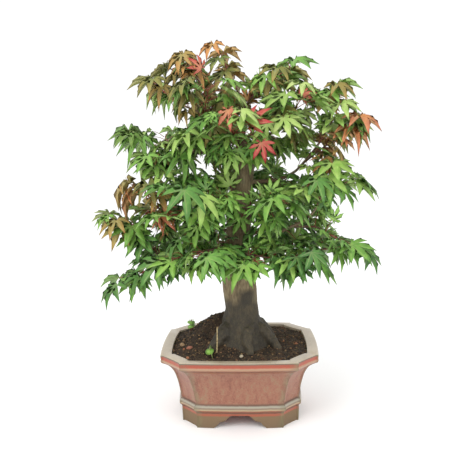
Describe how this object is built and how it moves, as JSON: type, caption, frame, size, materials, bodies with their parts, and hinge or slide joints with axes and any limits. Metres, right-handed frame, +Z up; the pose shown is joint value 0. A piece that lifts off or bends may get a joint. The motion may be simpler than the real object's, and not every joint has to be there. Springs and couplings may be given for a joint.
{
  "type": "potted maple bonsai",
  "caption": "Japanese maple bonsai with a thick upright trunk and lobed leaves, in a heap of soil in a rectangular glazed pot with cut corners and scalloped feet.",
  "frame": {"origin": "on the ground under the middle of the pot, which is also the middle of the whole tree's bounding box to within 3 mm", "axes": "+Z up, +X to the right along the pot's long side, +Y to the back; the tree's front faces -Y"},
  "size_m": [0.3684, 0.2522, 0.471],
  "materials": {
    "glazed_clay": "gloss",
    "soil": "matte",
    "bark": "matte",
    "leaf": "satin",
    "pebble": "matte",
    "dead_stalk": "matte",
    "screen_plastic": "matte",
    "wire": "satin"
  },
  "bodies": {
    "root": {"dead_stalk": "dead_stalk", "drain_screen_left": "screen_plastic", "drain_screen_right": "screen_plastic", "pebble_pale": "pebble", "pebble_red": "pebble", "pebble_tan": "pebble", "pot": "glazed_clay", "screen_wire_left": "wire", "screen_wire_right": "wire", "seedling_front": "leaf", "seedling_left": "leaf", "shoot_back_high": "leaf", "shoot_back_high_twig_1": "leaf", "shoot_back_low_left": "leaf", "shoot_back_low_left_twig_1": "leaf", "shoot_back_low_right": "leaf", "shoot_back_low_right_twig_1": "leaf", "shoot_back_mid": "leaf", "shoot_back_mid_twig_1": "leaf", "shoot_back_mid_twig_2": "leaf", "shoot_front_high": "leaf", "shoot_front_high_twig_1": "leaf", "shoot_front_high_twig_2": "leaf", "shoot_front_low_left": "leaf", "shoot_front_low_left_twig_1": "leaf", "shoot_front_low_right": "leaf", "shoot_front_low_right_twig_1": "leaf", "shoot_front_mid_left": "leaf", "shoot_front_mid_left_twig_1": "leaf", "shoot_front_mid_right": "leaf", "shoot_front_mid_right_twig_1": "leaf", "shoot_left_high": "leaf", "shoot_left_high_twig_1": "leaf", "shoot_left_low": "leaf", "shoot_left_low_twig_1": "leaf", "shoot_left_mid": "leaf", "shoot_left_mid_twig_1": "leaf", "shoot_left_rise": "leaf", "shoot_left_rise_twig_1": "leaf", "shoot_left_upper": "leaf", "shoot_left_upper_twig_1": "leaf", "shoot_left_upper_twig_2": "leaf", "shoot_right_low": "leaf", "shoot_right_low_twig_1": "leaf", "shoot_right_main": "leaf", "shoot_right_main_twig_1": "leaf", "shoot_right_mid": "leaf", "shoot_right_mid_twig_1": "leaf", "shoot_right_top": "leaf", "shoot_right_top_twig_1": "leaf", "shoot_right_upper": "leaf", "shoot_right_upper_twig_1": "leaf", "shoot_top_left": "leaf", "shoot_top_left_twig_1": "leaf", "shoot_top_middle": "leaf", "shoot_top_middle_twig_1": "leaf", "shoot_top_right": "leaf", "shoot_top_right_twig_1": "leaf", "soil": "soil", "trunk_and_branches": "bark"}
  },
  "joints": []
}
